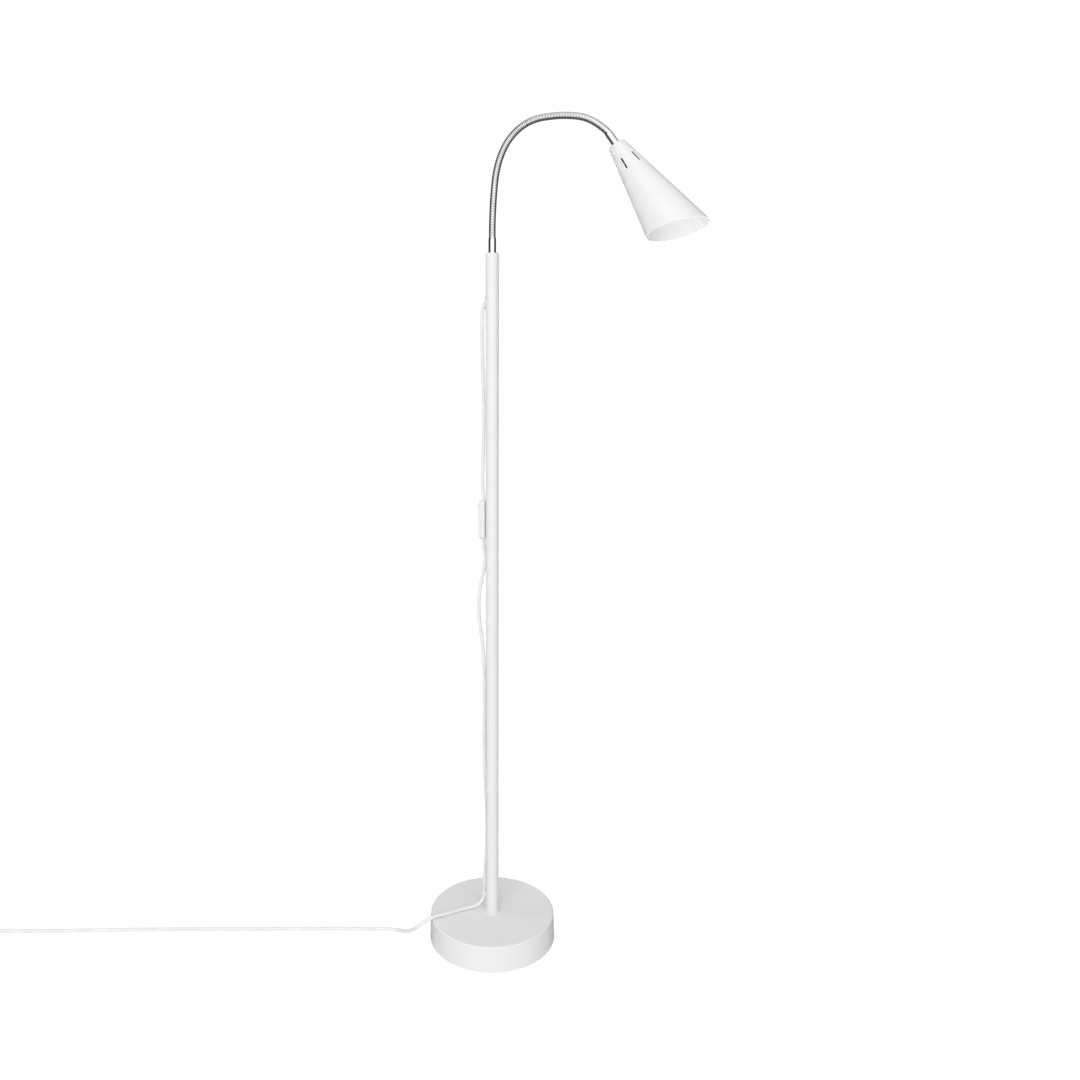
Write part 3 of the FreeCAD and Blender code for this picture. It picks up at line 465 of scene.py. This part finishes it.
def makeHose(look):
    tree = hoseTree(look)
    places = neckPlaces()
    pivots = [place for place, _, _ in places]
    pitch = (pivots[1] - pivots[0]).length
    shadeAxis = headAxis()
    ways = easedWays(pivots, shadeAxis)
    tuck = pitch * look["ferruleGap"] + look["tuck"]
    linkMiddles = [(a + b) / 2 for a, b in zip(pivots, pivots[1:])]
    ends = [pivots[0] - ways[0] * tuck] + linkMiddles + [pivots[-1] + shadeAxis * tuck]

    def wind(name, start, startWay, end, endWay, changes=None):
        inputs = {"Ribs": round(look["ribsPerLink"] * (end - start).length / pitch),
                  "Metal": finishes["bright_steel"], **(changes or {})}
        line = arcLine(start, startWay, end, endWay, look["lineSteps"])
        piece = meshFrom(line, tree, inputs, name)
        return piece

    for i, (_, below, above) in enumerate(places):
        name, start, end = "hose_%02d" % i, ends[i], ends[i + 1]
        span = (start, ways[i], end, ways[i + 1])
        if i == look["parted"]:
            middle, way = spanMiddle(*span)
            gap, sleeve = way * look["partedGap"], way * look["sleeveReach"]
            piece = wind(name, start, ways[i], middle - gap, way)
            upper = wind(name + "_upper", middle + gap, way, end, ways[i + 1])
            inner = wind(name + "_sleeve", middle - sleeve, way, middle + sleeve, way,
                         {"Ribs": 1, "Radius": look["sleeveRadius"], "Rib Depth": 0.0})
            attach(piece, below)
            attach(inner, below)
            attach(upper, above)
        else:
            piece = wind(name, *span)
            if i in look["fromAbove"]:
                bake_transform(piece)
            else:
                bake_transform(piece)
        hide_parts("neck_hose_%02d" % i if i else "neck_cable")


makeHose(hoseLook)
print("gooseneck wound")


# floor, backdrop and light
stageLook = {
    "floorShade": (0.93, 0.93, 0.93),
    "floorDrop": 0.0002,     # below the part's foot
    "floorWhite": 0.90,      # share of plain white that the camera sees
    "whiteStrength": 1.06,
    "floorInMetal": 0.93,    # share of the dim room that metal sees in the floor
    "dimRoom": 0.04,
    "reach": 60.0,
    "front": (0.42, -0.906, 0.0),    # towards the camera
    # each wall of the room brightens from none to full between these cosines of the way to it
    "frontEdge": (0.42, 0.78),
    "backEdge": (0.93, 0.99),
    "topEdge": (0.40, 0.80),
    "nearFloor": (1.2, 3.0),         # the painted glow of the floor in metal brightens between these distances
    "room": {"front": 1.41, "side": 0.10, "top": 0.77, "back": 0.85},
    "sideInMetal": 0.05,     # share of the side walls that polished metal shows
}


def rayKinds(net):
    # 1 for rays that the camera sends, straight or through glass, and 1 for reflected ones
    rays = net.add("ShaderNodeLightPath").outputs
    seen = net.wire(rays["Is Camera Ray"]).larger(rays["Is Transmission Ray"])
    return seen, net.wire(rays["Is Glossy Ray"])


def floorShader(net, look):
    # white to the camera; in metal a dim floor with a painted glow far out in front, which stands in for
    # light there
    place = net.add("ShaderNodeTexCoord").outputs["Object"]
    forward = net.add("ShaderNodeVectorMath", {0: place, 1: look["front"]}, operation="DOT_PRODUCT")
    distance = net.wire(net.add("ShaderNodeVectorMath", {0: place}, operation="LENGTH").outputs["Value"])
    inFront = (net.wire(forward.outputs["Value"]) / distance).rising(*look["frontEdge"])
    # painted light: the glow that metal shows in the floor, strongest far out in front
    lit = inFront * distance.rising(*look["nearFloor"])
    paintedFloorGlow = lit * (look["room"]["front"] - look["dimRoom"]) + look["dimRoom"]

    seen, glossy = rayKinds(net)
    matt = net.add("ShaderNodeBsdfDiffuse", {"Color": (*look["floorShade"], 1)})
    glow = net.add("ShaderNodeEmission", {"Strength": look["whiteStrength"]})
    dim = net.add("ShaderNodeEmission", {"Strength": paintedFloorGlow})
    white = net.add("ShaderNodeMixShader",
                    {"Fac": seen * look["floorWhite"], 1: matt.outputs[0], 2: glow.outputs[0]})
    inMetal = net.add("ShaderNodeMixShader",
                      {"Fac": glossy * look["floorInMetal"], 1: white.outputs[0], 2: dim.outputs[0]})
    net.add("ShaderNodeOutputMaterial", {"Surface": inMetal.outputs[0]})


def makeFloor(look):
    mesh = bpy.data.meshes.new("floor")
    far = look["reach"]
    mesh.from_pydata([(-far, -far, 0), (far, -far, 0), (far, far, 0), (-far, far, 0)], [], [(0, 1, 2, 3)])
    floor = bpy.data.objects.new("floor", mesh)
    floor.location.z = -look["floorDrop"]
    scene.collection.objects.link(floor)
    material = bpy.data.materials.new("paleFloor")
    material.use_nodes = True
    net = Net(material.node_tree)
    net.tree.nodes.clear()
    floorShader(net, look)
    mesh.materials.append(material)


def makeWorld(look):
    # a white sweep, bright in front and darker at the sides, which metal shows as dark bands
    world = bpy.data.worlds.new("studio")
    world.use_nodes = True
    scene.world = world
    net = Net(world.node_tree)
    way = net.add("ShaderNodeTexCoord").outputs["Generated"]
    facing = net.add("ShaderNodeVectorMath", {0: way, 1: look["front"]}, operation="DOT_PRODUCT")
    toFront = net.wire(facing.outputs["Value"])
    up = net.wire(net.add("ShaderNodeSeparateXYZ", {0: way}).outputs["Z"])
    levels = look["room"]
    side = levels["side"]
    walls = {"front": toFront.rising(*look["frontEdge"]), "back": (toFront * -1).rising(*look["backEdge"]),
             "top": up.rising(*look["topEdge"])}
    front, back, top = (wall * (levels[name] - side) for name, wall in walls.items())

    seen, glossy = rayKinds(net)
    plain = front + back + top + (1 - glossy * (1 - look["sideInMetal"])) * side
    background = net.tree.nodes["Background"]
    background.inputs["Color"].default_value = (1, 1, 1, 1)
    net.feed(background.inputs["Strength"], seen * look["whiteStrength"] + (1 - seen) * plain)


lamps = {
    "keyLamp": {"place": (0.5, -3.2, 2.3), "aim": (0, 0, 0.7),
                "size": (1.6, 1.6), "power": 18, "spread": 180},
    "sideLamp": {"place": (-3.0, -1.2, 1.9), "aim": (0, 0, 0.7),
                 "size": (1.2, 1.8), "power": 10, "spread": 180},
    "backLamp": {"place": (-1.35, 2.9, 1.9), "aim": (0, 0, 0.7),
                 "size": (1.6, 1.6), "power": 17, "spread": 180},
    "mouthLamp": {"place": (0.53, -0.16, 0.36), "aim": (0.26, 0, 1.10),     # into the shade
                  "size": (0.2, 0.2), "power": 0.12, "spread": 24},
}


def makeLamp(name, look):
    light = bpy.data.lights.new(name, "AREA")
    light.shape = "RECTANGLE"
    light.size, light.size_y = look["size"]
    light.energy = look["power"]
    light.spread = math.radians(look["spread"])
    lamp = bpy.data.objects.new(name, light)
    lamp.location = look["place"]
    lamp.rotation_euler = (Vector(look["aim"]) - lamp.location).to_track_quat("-Z", "Y").to_euler()
    lamp.visible_glossy = False      # metal shows the room's walls alone
    scene.collection.objects.link(lamp)


makeFloor(stageLook)
makeWorld(stageLook)
for name, look in lamps.items():
    makeLamp(name, look)
print("stage lit")

bpy.context.view_layer.update()
